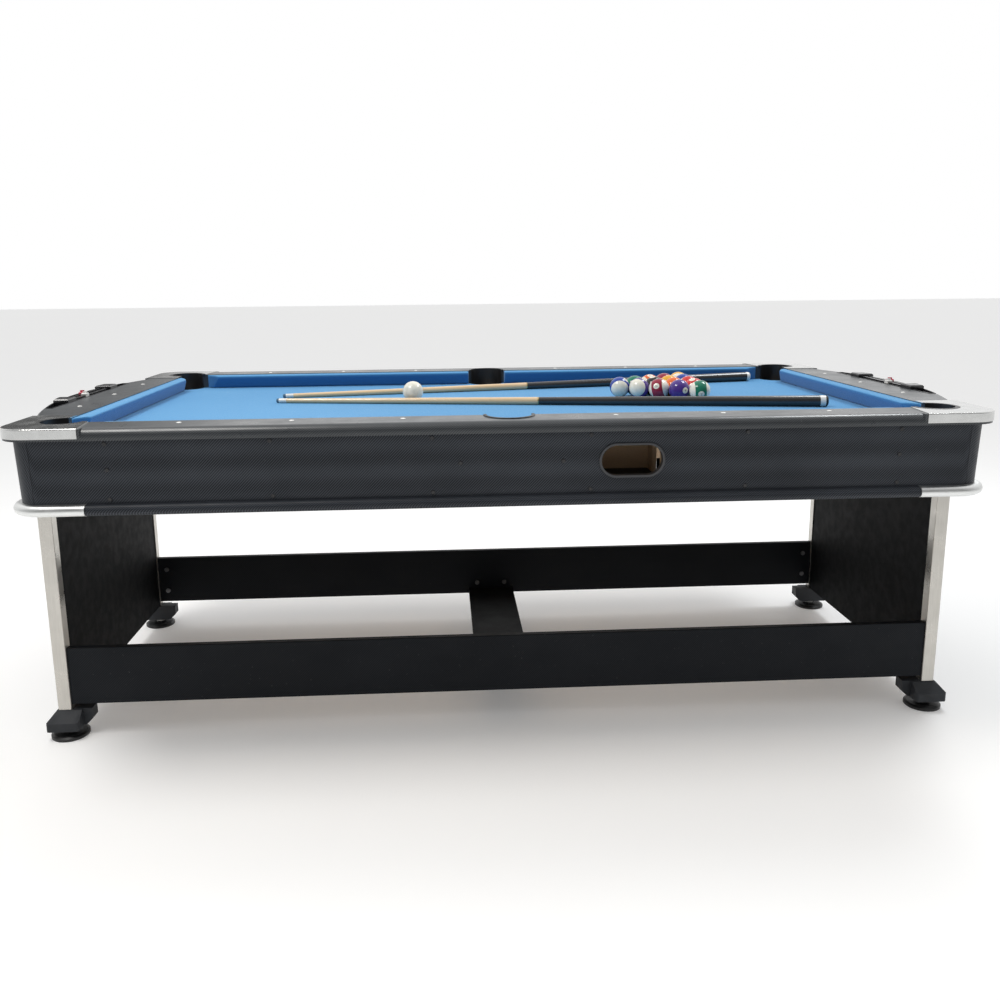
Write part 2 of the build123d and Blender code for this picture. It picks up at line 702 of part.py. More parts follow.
def make_ball_runs():
    """Channels that carry the balls from the pockets to the return box."""
    start_x = CORNER_POCKET[0] + CORNER_OPENING - 10
    high = BOX_FLOOR + 23
    low = BOX_FLOOR + 3
    meet = BOX_FLOOR + 16
    gate_x0 = CHUTE_X - RUN_HALF
    gate_x1 = CHUTE_X + RUN_HALF
    front_gate = block(gate_x0, gate_x1, RUN_HALF - RUN_Y - 5, RUN_HALF - RUN_Y + 1, low + 2, BOX_TOP)
    back_gate = block(gate_x0, gate_x1, RUN_Y - RUN_HALF - 1, RUN_Y - RUN_HALF + 5, meet + 0.6, BOX_TOP)
    front_left = Pos(-start_x, -RUN_Y, 0) * channel(start_x + BOX_X0 - 1, high, low)
    front_right = mirror(channel(start_x - BOX_X1 - 1, high, low), about=Plane.YZ)
    back_left = Pos(-start_x, RUN_Y, 0) * channel(start_x + CHUTE_X - 0.5, high, meet)
    back_right = mirror(channel(start_x - CHUTE_X - 0.5, high, meet), about=Plane.YZ)
    chute_start = RUN_Y - RUN_HALF - 0.5
    chute = channel(2 * chute_start, meet - 2, low + 5).rotate(Axis.Z, -90)
    return [
        front_left - front_gate,
        Pos(start_x, -RUN_Y, 0) * front_right,
        back_left - back_gate,
        Pos(start_x, RUN_Y, 0) * back_right - back_gate,
        Pos(CHUTE_X, chute_start, 0) * chute,
    ]


def make_return_box():
    outer = block(BOX_X0, BOX_X1, BOX_FRONT_Y, BOX_BACK_Y, BOX_FLOOR - BOX_WALL, BOX_TOP)
    room = block(
        BOX_X0 + BOX_WALL, BOX_X1 - BOX_WALL, BOX_FRONT_Y - 1, BOX_BACK_Y - BOX_WALL, BOX_FLOOR, BOX_TOP + 1
    )
    doors = block(
        BOX_X0 - 1, BOX_X1 + 1, -RUN_Y - RUN_HALF + RUN_WALL, RUN_HALF - RUN_WALL - RUN_Y, BOX_FLOOR, BOX_TOP - 12
    )
    return outer - room - doors


def make_frame_boards():
    """Ribs under the bed, and the boards that close the cabinet over the legs."""
    under_bed = BED_TOP - BED_THICK
    ribs = [block(x - 9, x + 9, -460, 460, under_bed - 100, under_bed) for x in (-800, -400, 0, 400, 800)]
    inner = MOULDING_INSET + MOULDING_DEPTH + 4.5
    floor = outline(TABLE_X - inner, TABLE_Y - inner, 26, APRON_BOW_HALF, MOULDING_SAG)
    floor = prism(floor, MOULDING_BOTTOM, MOULDING_BOTTOM + 18)
    right = floor & block(965, 1300, -700, 700, 500, 700)
    return ribs + [right, flipped(right, -1, 1)]


# ---- scorers ------------------------------------------------------------------
SCORER_FLOOR = RAIL_TOP - SLOT_DEPTH
SCORER_TOP = RAIL_TOP + 10.0
BLOCK_INNER = 122.0
BLOCK_OUTER = 174.0
TRACK_TOP = RAIL_TOP + 4.0
TRACKS = {"white": 1086.0, "red": 1104.0}
TRACK_HALF = 122.0
POINTER_REST = {"white": -35.0, "red": -6.0}


def make_scorer():
    """Scorer of the +X end: tray, two end blocks and two tracks between them."""
    tray = prism(scorer_slot_face(0.3), SCORER_FLOOR, SCORER_FLOOR + 4)
    rim_outer = prism(scorer_slot_face(0.3), SCORER_FLOOR, RAIL_TOP + 1)
    rim = rim_outer - prism(scorer_slot_face(3.3), SCORER_FLOOR + 3, RAIL_TOP + 2)
    body = tray + rim
    block_zone = prism(scorer_slot_face(2.0), SCORER_FLOOR, SCORER_TOP)
    for side in (-1, 1):
        raised = block(1070, 1125, side * BLOCK_INNER, side * BLOCK_OUTER, SCORER_FLOOR, SCORER_TOP) & block_zone
        top_edges = raised.edges().group_by(Axis.Z)[-1]
        body = body + chamfer(top_edges, 3.0)
    for x in TRACKS.values():
        body = body + block(x - 4, x + 4, -TRACK_HALF, TRACK_HALF, SCORER_FLOOR, TRACK_TOP)
    return body


def make_pointer(x, y):
    """Saddle that slides along a track, with a finger ridge on top."""
    gap = 0.35
    saddle = block(x - 7, x + 7, y - 9, y + 9, SCORER_FLOOR + 4.4, TRACK_TOP + 5)
    saddle = chamfer(saddle.edges().group_by(Axis.Z)[-1], 1.5)
    groove = block(x - 4 - gap, x + 4 + gap, y - 10, y + 10, SCORER_FLOOR, TRACK_TOP + gap)
    return saddle + block(x - 5, x + 5, y - 2.5, y + 2.5, TRACK_TOP + 4, TRACK_TOP + 9) - groove


# ---- balls and cues -----------------------------------------------------------
def ball(x, y):
    return Pos(x, y, BED_TOP + CLOTH + FIT_GAP + BALL_RADIUS) * Sphere(BALL_RADIUS)


def make_rack():
    row_step = RACK_PITCH * cos(radians(30))
    balls = []
    for row in range(5):
        for place in range(row + 1):
            balls.append(ball(RACK_APEX[0] + row * row_step, RACK_APEX[1] + (place - row / 2) * RACK_PITCH))
    return balls


TIP_RADIUS = 6.2
BUTT_RADIUS = 14.5


def make_cue(tip, heading):
    """Two-piece cue lying on the cloth: tip, ferrule, shaft, butt and bumper."""
    stations = [0.0, 8.0, 30.0, CUE_LENGTH / 2, CUE_LENGTH - 14, CUE_LENGTH]

    def radius_at(s):
        return TIP_RADIUS + (BUTT_RADIUS - TIP_RADIUS) * s / CUE_LENGTH

    pieces = []
    for start, end in zip(stations, stations[1:]):
        points = [(0, 0, start), (radius_at(start), 0, start), (radius_at(end), 0, end), (0, 0, end)]
        pieces.append(revolve(polygon_face(points), Axis.Z))
    rise = degrees(atan2(BUTT_RADIUS - TIP_RADIUS, CUE_LENGTH))
    lift = BED_TOP + CLOTH + FIT_GAP + TIP_RADIUS / cos(radians(rise)) + 0.05
    turn = Pos(tip[0], tip[1], lift) * Rot(0, 0, heading) * Rot(0, 90 - rise, 0)
    return [turn * piece for piece in pieces]


# ---- write every node ---------------------------------------------------------
save("bed_board", make_bed_board())
save("bed_cloth", make_bed_cloth())

for name, rail in make_rails().items():
    save(name, rail)

long_cushion = make_long_cushion()
for name, sides in QUADRANTS.items():
    save(f"cushion_{name}", flipped(long_cushion, *sides))
end_cushion = make_end_cushion()
save("cushion_right_end", end_cushion)
save("cushion_left_end", flipped(end_cushion, -1, 1))

corner_cap = make_cap()
corner_liner = make_liner(CORNER_POCKET, CORNER_OPENING, CORNER_RIM, RAIL_INNER_Y, RAIL_INNER_X)
for name, sides in QUADRANTS.items():
    save(f"corner_cap_{name}", flipped(corner_cap, *sides))
    save(f"corner_pocket_{name}", flipped(corner_liner, *sides))
side_liner = make_liner(SIDE_POCKET, SIDE_OPENING, SIDE_RIM, RAIL_INNER_Y, 150)
save("side_pocket_liners", side_liner, flipped(side_liner, 1, -1))

aprons, corner_posts = make_aprons()
for name, apron in aprons.items():
    save(name, apron)
save("cabinet_corner_posts", *corner_posts)
save("base_moulding", *make_mouldings())
save("moulding_corner_guards", *four_copies(make_guard()))
save("window_bezel", make_bezel())
save("apron_screws", *make_screws())

save("return_box", make_return_box())
save("ball_runs", *make_ball_runs())
save("cabinet_frame_boards", *make_frame_boards())

end_panel = make_panel()
save("end_panel_right", end_panel)
save("end_panel_left", flipped(end_panel, -1, 1))
save("leg_posts", *four_copies(make_post()))
save("stretchers", make_stretcher(-1), make_stretcher(1))
save("cross_board", make_cross_board())
save("leg_brackets", *four_copies(make_bracket()))
save("frame_bolts", *make_bolts())
save("foot_shoes", *four_copies(make_shoe()))
for name, (side_x, side_y) in QUADRANTS.items():
    save(f"leveller_disc_{name}", make_disc(side_x * FOOT_X, side_y * FOOT_Y))
    save(f"leveller_stem_{name}", make_stem(side_x * FOOT_X, side_y * FOOT_Y))

sights = [rod(x, y, RAIL_TOP - 2.9, RAIL_TOP + 0.4, SIGHT_RADIUS) for x, y in sight_places()]
save("rail_sights", *sights)

scorer = make_scorer()
for end, side_x in (("right", 1), ("left", -1)):
    save(f"scorer_{end}", flipped(scorer, side_x, 1))
    for colour, track in TRACKS.items():
        pointer = make_pointer(track, POINTER_REST[colour])
        save(f"pointer_{colour}_{end}", flipped(pointer, side_x, 1))

save("cue_ball", ball(*CUE_BALL))
save("racked_balls", *make_rack())
save("cue_near", *make_cue((-610.0, 85.0), -10.0))
save("cue_far", *make_cue((-609.0, 186.0), 9.9))
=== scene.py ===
import math
import random

import bmesh
import bpy
from mathutils import Matrix, Vector


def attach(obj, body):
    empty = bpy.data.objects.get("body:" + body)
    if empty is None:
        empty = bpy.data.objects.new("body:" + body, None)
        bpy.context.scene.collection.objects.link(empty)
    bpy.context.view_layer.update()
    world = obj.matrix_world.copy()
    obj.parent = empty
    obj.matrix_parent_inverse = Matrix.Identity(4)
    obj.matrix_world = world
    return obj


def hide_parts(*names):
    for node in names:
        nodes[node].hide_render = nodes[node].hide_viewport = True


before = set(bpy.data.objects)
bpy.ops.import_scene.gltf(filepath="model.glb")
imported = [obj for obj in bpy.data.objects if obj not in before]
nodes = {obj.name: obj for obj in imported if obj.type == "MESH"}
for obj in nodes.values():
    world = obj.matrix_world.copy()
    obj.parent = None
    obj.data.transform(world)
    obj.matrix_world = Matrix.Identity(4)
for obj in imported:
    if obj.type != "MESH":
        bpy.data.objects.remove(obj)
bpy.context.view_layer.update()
scene = bpy.context.scene
scene.view_settings.view_transform = "Standard"
scene.view_settings.look = "None"

QUADRANTS = {
    "front_left": (-1, -1),
    "front_right": (1, -1),
    "back_left": (-1, 1),
    "back_right": (1, 1),
}

# ---- camera -------------------------------------------------------------------
CAMERA_PLACE = (-0.146447, -2.452285, 1.081657)
CAMERA_TURN = (78.8211, 0.5627, -3.1114)
CAMERA_LENS = 32.4144
CAMERA_SHIFT = (0.010543, -0.041726)
SENSOR_WIDTH = 36.0

camera_data = bpy.data.cameras.new("camera")
camera_data.sensor_width = SENSOR_WIDTH
camera_data.lens = CAMERA_LENS
camera_data.shift_x, camera_data.shift_y = CAMERA_SHIFT
camera_data.clip_start = 0.05
camera_data.clip_end = 200.0
camera = bpy.data.objects.new("camera", camera_data)
camera.location = CAMERA_PLACE
camera.rotation_euler = [math.radians(angle) for angle in CAMERA_TURN]
scene.collection.objects.link(camera)
scene.camera = camera


# ---- shader helpers -----------------------------------------------------------
class Shader:
    """A Principled material and short calls that add nodes to it."""

    def __init__(self, name, **fixed):
        self.material = bpy.data.materials.new(name)
        self.material.use_nodes = True
        self.tree = self.material.node_tree
        self.surface = self.tree.nodes["Principled BSDF"]
        self.surface.inputs["Base Color"].default_value = (0.5, 0.5, 0.5, 1.0)
        for key, value in fixed.items():
            self.surface.inputs[key.replace("_", " ")].default_value = value
        self.place = self.node("ShaderNodeTexCoord").outputs["Object"]

    def node(self, kind, **settings):
        made = self.tree.nodes.new(kind)
        for key, value in settings.items():
            setattr(made, key, value)
        return made

    def feed(self, socket, value):
        if isinstance(value, bpy.types.NodeSocket):
            self.tree.links.new(value, socket)
        elif isinstance(value, (tuple, list)) and len(value) == 3 and socket.type == "RGBA":
            socket.default_value = (*value, 1.0)
        else:
            socket.default_value = value

    def set(self, name, value):
        self.feed(self.surface.inputs[name], value)

    def math(self, operation, a, b=0.0, c=0.0):
        made = self.node("ShaderNodeMath", operation=operation)
        for socket, value in zip(made.inputs, (a, b, c)):
            self.feed(socket, value)
        return made.outputs[0]

    def scaled(self, scale):
        made = self.node("ShaderNodeMapping")
        self.feed(made.inputs["Vector"], self.place)
        made.inputs["Scale"].default_value = scale
        return made.outputs[0]

    def noise(self, scale, detail=2.0, roughness=0.5, stretch=None):
        made = self.node("ShaderNodeTexNoise")
        self.feed(made.inputs["Vector"], self.scaled(stretch) if stretch else self.place)
        made.inputs["Scale"].default_value = scale
        made.inputs["Detail"].default_value = detail
        made.inputs["Roughness"].default_value = roughness
        return made.outputs["Fac"]

    def band(self, value, low, high, out_low=0.0, out_high=1.0, smooth=True):
        made = self.node("ShaderNodeMapRange", interpolation_type="SMOOTHSTEP" if smooth else "LINEAR")
        for name, number in (("Value", value), ("From Min", low), ("From Max", high)):
            self.feed(made.inputs[name], number)
        self.feed(made.inputs["To Min"], out_low)
        self.feed(made.inputs["To Max"], out_high)
        return made.outputs["Result"]

    def mix(self, share, a, b):
        made = self.node("ShaderNodeMix", data_type="RGBA")
        self.feed(made.inputs["Factor"], share)
        self.feed(made.inputs["A"], a)
        self.feed(made.inputs["B"], b)
        return made.outputs["Result"]

    def axes(self):
        made = self.node("ShaderNodeSeparateXYZ")
        self.feed(made.inputs[0], self.place)
        return made.outputs

    def along(self, direction):
        made = self.node("ShaderNodeVectorMath", operation="DOT_PRODUCT")
        self.feed(made.inputs[0], self.place)
        made.inputs[1].default_value = direction
        return made.outputs["Value"]

    def wave(self, along, pitch):
        return self.math("SINE", self.math("MULTIPLY", along, 2 * math.pi / pitch))

    def bump(self, height, strength, distance, under=None):
        made = self.node("ShaderNodeBump")
        made.inputs["Strength"].default_value = strength
        made.inputs["Distance"].default_value = distance
        self.feed(made.inputs["Height"], height)
        if under:
            self.feed(made.inputs["Normal"], under)
        return made.outputs["Normal"]


TWILL_PITCH = 0.0059
TOW_PITCH = 0.0021


def laminate(name, dark, light, rough, gloss, coat, relief):
    """Foil printed with a twill weave of carbon tows, with wear and finger marks."""
    s = Shader(name, Specular_IOR_Level=gloss, Coat_Weight=coat, Coat_Roughness=0.2)
    x, y, z = s.axes()
    slant = s.math("SUBTRACT", s.math("SUBTRACT", x, y), z)
    twill = s.band(s.wave(slant, TWILL_PITCH), 0.0, 0.85)
    rows, columns, courses = (s.wave(axis, TOW_PITCH) for axis in (x, y, z))
    cross = s.math("ADD", s.math("ADD", rows, columns), courses)
    tows = s.band(cross, -1.2, 1.4)
    height = s.math("MULTIPLY_ADD", tows, 0.35, s.math("MULTIPLY", twill, 0.65))
    cloudy = s.noise(2.3, 4.0, 0.6)
    tone = s.math("MULTIPLY", height, s.band(cloudy, 0.3, 0.7, 0.75, 1.1))
    color = s.mix(tone, dark, light)
    dust = s.band(s.noise(140.0, 3.0, 0.7), 0.66, 0.78)
    s.set("Base Color", s.mix(s.math("MULTIPLY", dust, 0.12), color, (0.35, 0.35, 0.34)))
    smears = s.noise(9.0, 5.0, 0.65, stretch=(1.0, 1.0, 2.2))
    s.set("Roughness", s.band(smears, 0.3, 0.72, *rough))
    s.set("Normal", s.bump(height, relief, 0.0002, s.bump(cloudy, 0.05, 0.002)))
    return s.material


def plastic(name, color, low, high, grain=900.0, strength=0.15, wear=0.45, **fixed):
    """Moulded plastic: fine spark texture, flow tone and scuffs."""
    s = Shader(name, **fixed)
    flow = s.noise(14.0, 4.0, 0.6)
    scuff = s.band(s.noise(60.0, 6.0, 0.75, stretch=(1.0, 3.0, 1.0)), 0.6, 0.75)
    pale = tuple(min(1.0, c * 1.5 + 0.012) for c in color)
    deep = tuple(c * 0.82 for c in color)
    toned = s.mix(s.band(flow, 0.3, 0.7), deep, color)
    s.set("Base Color", s.mix(s.math("MULTIPLY", scuff, wear), toned, pale))
    s.set("Roughness", s.band(s.noise(35.0, 4.0, 0.6), 0.3, 0.7, low, high))
    s.set("Normal", s.bump(s.noise(grain, 3.0, 0.6), strength, 0.0002))
    return s.material


def metal(name, color, low, high, stretch=(1.0, 1.0, 1.0), grain=500.0, strength=0.05, **fixed):
    """Bare or plated metal with drawn grain, smudges and small marks."""
    s = Shader(name, Metallic=1.0, **fixed)
    drawn = s.noise(grain, 4.0, 0.7, stretch=stretch)
    smudge = s.noise(16.0, 5.0, 0.62)
    shade = tuple(c * 0.82 for c in color)
    s.set("Base Color", s.mix(s.math("MULTIPLY", s.band(drawn, 0.3, 0.7), 0.6), color, shade))
    rough = s.math("MULTIPLY_ADD", drawn, 0.12, s.band(smudge, 0.35, 0.7, low, high))
    s.set("Roughness", rough)
    s.set("Normal", s.bump(drawn, strength, 0.0001))
    return s.material


def board(name, light, dark):
    """Raw fibreboard: fibres, flecks and cloudy tone."""
    s = Shader(name, Roughness=0.8)
    fibre = s.noise(900.0, 5.0, 0.75, stretch=(1.0, 0.25, 1.0))
    cloud = s.noise(11.0, 4.0, 0.6)
    fleck = s.band(s.noise(420.0, 2.0, 0.5), 0.64, 0.72)
    color = s.mix(s.math("MULTIPLY_ADD", fibre, 0.6, s.math("MULTIPLY", cloud, 0.4)), light, dark)
    s.set("Base Color", s.mix(s.math("MULTIPLY", fleck, 0.5), color, tuple(c * 0.45 for c in dark)))
    s.set("Normal", s.bump(fibre, 0.3, 0.0004))
    return s.material


YARN_PITCH = 0.0011
CUSHION_NOSE_HEIGHT = 0.788
SHADE_FADE = 0.003
CHALK_BLUE = (0.72, 0.8, 0.86)
LINT = (0.8, 0.85, 0.88)
# painted shade: the deep blues the cushion cloth takes below its nose height
PAINTED_SHADE_DEEP = (0.02, 0.1, 0.26)
PAINTED_SHADE_BLUE = (0.055, 0.21, 0.46)


def baize(name, color, pale, deep, shade_under=None):
    """Worsted cloth: fine crossed yarns with a short nap, chalk and tone changes.

    Below the height shade_under the cloth is painted a deeper blue: painted shade, as under a cushion's nose."""
    s = Shader(name, Roughness=0.92, Specular_IOR_Level=0.25, Sheen_Weight=0.35, Sheen_Roughness=0.4)
    s.surface.inputs["Sheen Tint"].default_value = (0.75, 0.88, 1.0, 1.0)
    x, y, z = s.axes()
    wobble = s.math("MULTIPLY", s.noise(260.0, 2.0), 0.0007)
    warp = s.wave(s.math("ADD", x, wobble), YARN_PITCH)
    weft = s.wave(s.math("ADD", s.math("ADD", y, z), wobble), YARN_PITCH)
    weave = s.math("MULTIPLY", s.math("ADD", s.math("MULTIPLY", warp, weft), 1.0), 0.5)
    nap = s.noise(1500.0, 4.0, 0.8)
    yarns = s.math("MULTIPLY_ADD", weave, 0.45, s.math("MULTIPLY", nap, 0.75))
    cloth = s.mix(yarns, deep, color)
    broad = s.band(s.noise(1.7, 4.0, 0.55), 0.3, 0.7)
    brushed = s.mix(s.math("MULTIPLY", broad, 0.35), cloth, pale)
    chalk = s.band(s.noise(7.0, 8.0, 0.72), 0.66, 0.8)
    chalked = s.mix(s.math("MULTIPLY", chalk, 0.22), brushed, CHALK_BLUE)
    lint = s.band(s.noise(300.0, 2.0, 0.5), 0.72, 0.76)
    finished = s.mix(s.math("MULTIPLY", lint, 0.4), chalked, LINT)
    if shade_under:
        # painted shade: below shade_under the cloth is mixed towards darker blues
        above = s.band(z, shade_under - SHADE_FADE, shade_under)
        finished = s.mix(above, s.mix(yarns, PAINTED_SHADE_DEEP, PAINTED_SHADE_BLUE), finished)
    s.set("Base Color", finished)
    s.set("Normal", s.bump(yarns, 0.5, 0.0004, s.bump(s.noise(24.0, 3.0), 0.08, 0.002)))
    return s.material


def lacquered_wood(name, light, dark):
    """Turned shaft: long grain along the local Z axis under clear lacquer."""
    s = Shader(name, Coat_Weight=0.6, Coat_Roughness=0.12)
    grain = s.noise(420.0, 6.0, 0.7, stretch=(1.0, 1.0, 0.012))
    pores = s.band(s.noise(1500.0, 3.0, 0.6, stretch=(1.0, 1.0, 0.02)), 0.58, 0.7)
    figure = s.noise(6.0, 3.0, 0.5, stretch=(6.0, 6.0, 1.0))
    share = s.math("MULTIPLY_ADD", grain, 0.7, s.math("MULTIPLY", figure, 0.3))
    color = s.mix(s.band(share, 0.3, 0.72), light, dark)
    s.set("Base Color", s.mix(s.math("MULTIPLY", pores, 0.35), color, tuple(c * 0.5 for c in dark)))
    s.set("Roughness", s.band(figure, 0.3, 0.7, 0.16, 0.3))
    s.set("Normal", s.bump(grain, 0.06, 0.0002))
    return s.material


MATERIALS = {
    "rail": laminate(
        "rail_laminate", (0.014, 0.016, 0.019), (0.085, 0.093, 0.1), (0.26, 0.4),
        gloss=0.42, coat=0.2, relief=0.1,
    ),
    "apron": laminate(
        "apron_laminate", (0.0045, 0.006, 0.009), (0.076, 0.085, 0.101), (0.36, 0.5),
        gloss=0.2, coat=0.0, relief=0.25,
    ),
    "stretcher": laminate(
        "stretcher_laminate", (0.0035, 0.0045, 0.006), (0.017, 0.02, 0.025), (0.44, 0.58),
        gloss=0.13, coat=0.0, relief=0.2,
    ),
    "panel": plastic(
        "panel_black", (0.0042, 0.005, 0.0062), 0.6, 0.72,
        grain=320.0, strength=0.12, wear=0.15, Specular_IOR_Level=0.12,
    ),
    "mdf": board("raw_fibreboard", (0.66, 0.5, 0.33), (0.46, 0.32, 0.2)),
    "bed": baize("bed_cloth", (0.1, 0.33, 0.61), (0.14, 0.38, 0.66), (0.06, 0.24, 0.48)),
    "cushion": baize(
        "cushion_cloth", (0.098, 0.32, 0.6), (0.14, 0.38, 0.65), (0.06, 0.23, 0.46),
        # painted shade on the cushion cloth below the nose height
        shade_under=CUSHION_NOSE_HEIGHT,
    ),
    "chrome": metal("corner_chrome", (0.72, 0.725, 0.715), 0.08, 0.18, grain=24.0, strength=0.01),
    "guard": metal("guard_silver", (0.82, 0.83, 0.82), 0.28, 0.42, grain=1400.0, strength=0.04),
    "post": metal(
        "post_aluminium", (0.56, 0.54, 0.5), 0.2, 0.34,
        stretch=(1.0, 1.0, 0.015), grain=900.0, strength=0.12, Anisotropic=0.55,
    ),
    "pocket": plastic("pocket_plastic", (0.012, 0.012, 0.013), 0.3, 0.48, grain=700.0),
    "bezel": plastic("bezel_plastic", (0.045, 0.047, 0.052), 0.3, 0.45),
    "shoe": plastic(
        "shoe_plastic", (0.03, 0.033, 0.038), 0.5, 0.66,
        grain=420.0, strength=0.4, Specular_IOR_Level=0.3,
    ),
    "disc": plastic("disc_plastic", (0.01, 0.01, 0.011), 0.36, 0.52),
    "steel": metal("stem_steel", (0.52, 0.52, 0.5), 0.22, 0.38, stretch=(1.0, 1.0, 30.0), strength=0.2),
    "screw": plastic("screw_black", (0.02, 0.02, 0.022), 0.22, 0.36, grain=1500.0),
    "bolt": metal("bolt_steel", (0.3, 0.3, 0.31), 0.25, 0.4),
    "bracket": plastic("bracket_black", (0.018, 0.018, 0.019), 0.35, 0.5, grain=260.0, strength=0.35),
    "sight": plastic("sight_white", (0.93, 0.93, 0.9), 0.15, 0.28, grain=300.0, strength=0.03),
    "scorer": plastic("scorer_black", (0.011, 0.011, 0.013), 0.16, 0.3, Coat_Weight=0.3),
    "red": plastic("pointer_red", (0.55, 0.012, 0.06), 0.16, 0.28),
    "white": plastic("pointer_white", (0.82, 0.82, 0.8), 0.18, 0.3),
    "maple": lacquered_wood("maple_shaft", (0.82, 0.62, 0.38), (0.68, 0.45, 0.24)),
    "butt": lacquered_wood("butt_black", (0.012, 0.011, 0.011), (0.03, 0.027, 0.026)),
    "ivory": plastic("ferrule_white", (0.86, 0.85, 0.8), 0.2, 0.32, grain=500.0, strength=0.04),
    "rubber": plastic("bumper_rubber", (0.014, 0.014, 0.014), 0.55, 0.75, grain=600.0, strength=0.3),
    "mat": plastic("mat_rubber", (0.008, 0.008, 0.009), 0.7, 0.85, grain=260.0, strength=0.5),
    "tip": plastic("tip_leather", (0.08, 0.16, 0.24), 0.75, 0.9, grain=700.0, strength=0.6),
    "brass": metal("joint_ring", (0.72, 0.56, 0.28), 0.12, 0.22, stretch=(1.0, 1.0, 20.0)),
}

DRESS = {
    "bed_board": "mdf", "window_bezel": "bezel", "apron_screws": "screw", "return_box": "mdf",
    "ball_runs": "disc", "cabinet_frame_boards": "mdf", "end_panel_left": "panel", "end_panel_right": "panel",
    "leg_posts": "post", "stretchers": "stretcher", "cross_board": "stretcher", "leg_brackets": "bracket",
    "frame_bolts": "bolt", "foot_shoes": "shoe", "rail_sights": "sight", "scorer_left": "scorer",
    "scorer_right": "scorer", "side_pocket_liners": "pocket", "base_moulding": "apron",
    "cabinet_corner_posts": "apron", "moulding_corner_guards": "guard",
}
for end in ("back", "front", "left_end", "right_end"):
    DRESS[f"rail_{end}"] = "rail"
    DRESS[f"apron_{end}"] = "apron"
for quadrant in QUADRANTS:
    DRESS[f"corner_cap_{quadrant}"] = "chrome"
    DRESS[f"corner_pocket_{quadrant}"] = "pocket"
    DRESS[f"leveller_disc_{quadrant}"] = "disc"
    DRESS[f"leveller_stem_{quadrant}"] = "steel"
for end in ("left", "right"):
    DRESS[f"pointer_red_{end}"] = "red"
    DRESS[f"pointer_white_{end}"] = "white"


def dress(piece, material):
    if piece.data.materials:
        piece.data.materials[0] = material
    else:
        piece.data.materials.append(material)


for name, key in DRESS.items():
    dress(nodes[name], MATERIALS[key])


# ---- mesh helpers -------------------------------------------------------------
def piece_from(name, points, faces, material, body="root", smooth=30.0):
    mesh = bpy.data.meshes.new(name)
    mesh.from_pydata(points, [], faces)
    mesh.validate()
    made = bpy.data.objects.new(name, mesh)
    scene.collection.objects.link(made)
    mesh.materials.append(material)
    tidy_normals(made, smooth)
    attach(made, body)
    return made


def tidy_normals(piece, smooth):
    """Outward faces, smooth except where two faces meet at more than the angle."""
    work = bmesh.new()
    work.from_mesh(piece.data)
    bmesh.ops.recalc_face_normals(work, faces=work.faces)
    limit = math.radians(smooth)
    for face in work.faces:
        face.smooth = True
    for edge in work.edges:
        edge.smooth = len(edge.link_faces) == 2 and edge.calc_face_angle(0.0) < limit
    work.to_mesh(piece.data)
    work.free()


# ---- bed cloth ----------------------------------------------------------------
BED_TOP = 0.749
CLOTH = 0.001
RAIL_TOP = 0.792
RAIL_INNER = (0.967, 0.497)
NOSE = (0.94, 0.47)
CORNER_POCKET = (0.962, 0.49)
SIDE_POCKET_Y = 0.505
CORNER_HOLE = 0.0482
SIDE_HOLE = 0.0532
ARC_STEPS = 40
WELD = 1e-5


def arc(cx, cy, radius, start, stop):
    turns = [start + (stop - start) * i / ARC_STEPS for i in range(ARC_STEPS + 1)]
    return [(cx + radius * math.cos(t), cy + radius * math.sin(t)) for t in turns]


def link_mesh(name, mesh, material):
    made = bpy.data.objects.new(name, mesh)
    scene.collection.objects.link(made)
    mesh.materials.append(material)
    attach(made, "root")
    return made


def make_bed_cloth():
    """One stretched sheet with the pocket holes cut out of its edge."""
    edge_x, edge_y = RAIL_INNER
    dip_x = math.asin((CORNER_POCKET[0] - edge_x) / CORNER_HOLE)
    dip_y = math.asin((CORNER_POCKET[1] - edge_y) / CORNER_HOLE)
    quarter = arc(*CORNER_POCKET, CORNER_HOLE, 1.5 * math.pi - dip_x, math.pi + dip_y)
    dip = math.asin((SIDE_POCKET_Y - edge_y) / SIDE_HOLE)
    side = arc(0.0, SIDE_POCKET_Y, SIDE_HOLE, 2 * math.pi - dip, math.pi + dip)
    top = quarter + side + [(-x, y) for x, y in reversed(quarter)]
    points = top + [(-x, -y) for x, y in top]
    curve = bpy.data.curves.new("bed_cloth_outline", "CURVE")
    curve.dimensions = "2D"
    curve.fill_mode = "BOTH"
    spline = curve.splines.new("POLY")
    spline.points.add(len(points) - 1)
    for point, (x, y) in zip(spline.points, points):
        point.co = (x, y, 0.0, 1.0)
    spline.use_cyclic_u = True
    helper = bpy.data.objects.new("bed_cloth_outline", curve)
    scene.collection.objects.link(helper)
    flat = bpy.data.meshes.new_from_object(helper.evaluated_get(bpy.context.evaluated_depsgraph_get()))
    bpy.data.objects.remove(helper)
    work = bmesh.new()
    work.from_mesh(flat)
    bmesh.ops.remove_doubles(work, verts=work.verts, dist=WELD)
    for vertex in work.verts:
        vertex.co.z = BED_TOP
    grown = bmesh.ops.extrude_face_region(work, geom=work.faces[:])
    for item in grown["geom"]:
        if isinstance(item, bmesh.types.BMVert):
            item.co.z = BED_TOP + CLOTH
    bmesh.ops.recalc_face_normals(work, faces=work.faces)
    mesh = bpy.data.meshes.new("bed_cloth_sheet")
    work.to_mesh(mesh)
    work.free()
    made = link_mesh("bed_cloth_sheet", mesh, MATERIALS["bed"])
    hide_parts("bed_cloth")
    flat = (2 * edge_x, 2 * edge_y)


make_bed_cloth()

